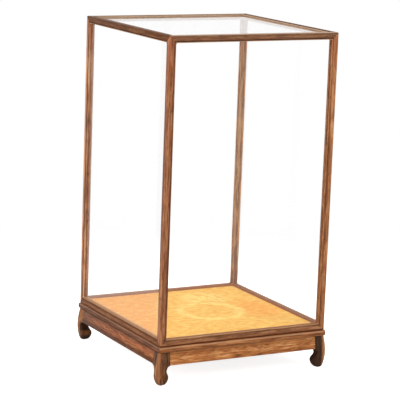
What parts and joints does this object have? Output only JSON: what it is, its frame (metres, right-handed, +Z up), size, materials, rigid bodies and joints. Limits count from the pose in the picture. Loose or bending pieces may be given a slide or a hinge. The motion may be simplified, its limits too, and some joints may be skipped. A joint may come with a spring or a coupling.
{
  "type": "glazed display case",
  "caption": "Table-top display case: a square glass hood in a slim moulded hardwood frame lifts off a low footed stand with a silk-covered display board.",
  "frame": {"origin": "on the ground under the middle of the stand", "axes": "+X to the right, +Y to the back, +Z up; the hood lifts along +Z"},
  "size_m": [0.4094, 0.4094, 0.73],
  "materials": {
    "hood_wood": "oiled and waxed",
    "stand_wood": "oiled and waxed",
    "apron_wood": "oiled and waxed",
    "panel_wood": "plain planed",
    "board_wood": "plain planed",
    "silk": "figured silk damask",
    "glass": "clear float glass"
  },
  "bodies": {
    "stand": {"stand_leg_front_left": "stand_wood", "stand_leg_front_right": "stand_wood", "stand_leg_back_left": "stand_wood", "stand_leg_back_right": "stand_wood", "stand_apron_front": "apron_wood", "stand_apron_back": "apron_wood", "stand_apron_left": "apron_wood", "stand_apron_right": "apron_wood", "stand_frame_rail_front": "stand_wood", "stand_frame_rail_back": "stand_wood", "stand_frame_rail_left": "stand_wood", "stand_frame_rail_right": "stand_wood", "stand_panel": "panel_wood", "stand_batten_left": "panel_wood", "stand_batten_right": "panel_wood", "display_board": "board_wood", "silk_cover": "silk"},
    "hood": {"hood_post_front_left": "hood_wood", "hood_post_front_right": "hood_wood", "hood_post_back_left": "hood_wood", "hood_post_back_right": "hood_wood", "hood_top_rail_front": "hood_wood", "hood_top_rail_back": "hood_wood", "hood_top_rail_left": "hood_wood", "hood_top_rail_right": "hood_wood", "hood_bottom_rail_front": "hood_wood", "hood_bottom_rail_back": "hood_wood", "hood_bottom_rail_left": "hood_wood", "hood_bottom_rail_right": "hood_wood", "glass_front": "glass", "glass_back": "glass", "glass_left": "glass", "glass_right": "glass", "glass_top": "glass"}
  },
  "joints": [
    {"name": "hood_lift", "type": "slide", "parent": "stand", "child": "hood", "axis": [0, 0, 1], "range_m": [0, 0.66]}
  ]
}
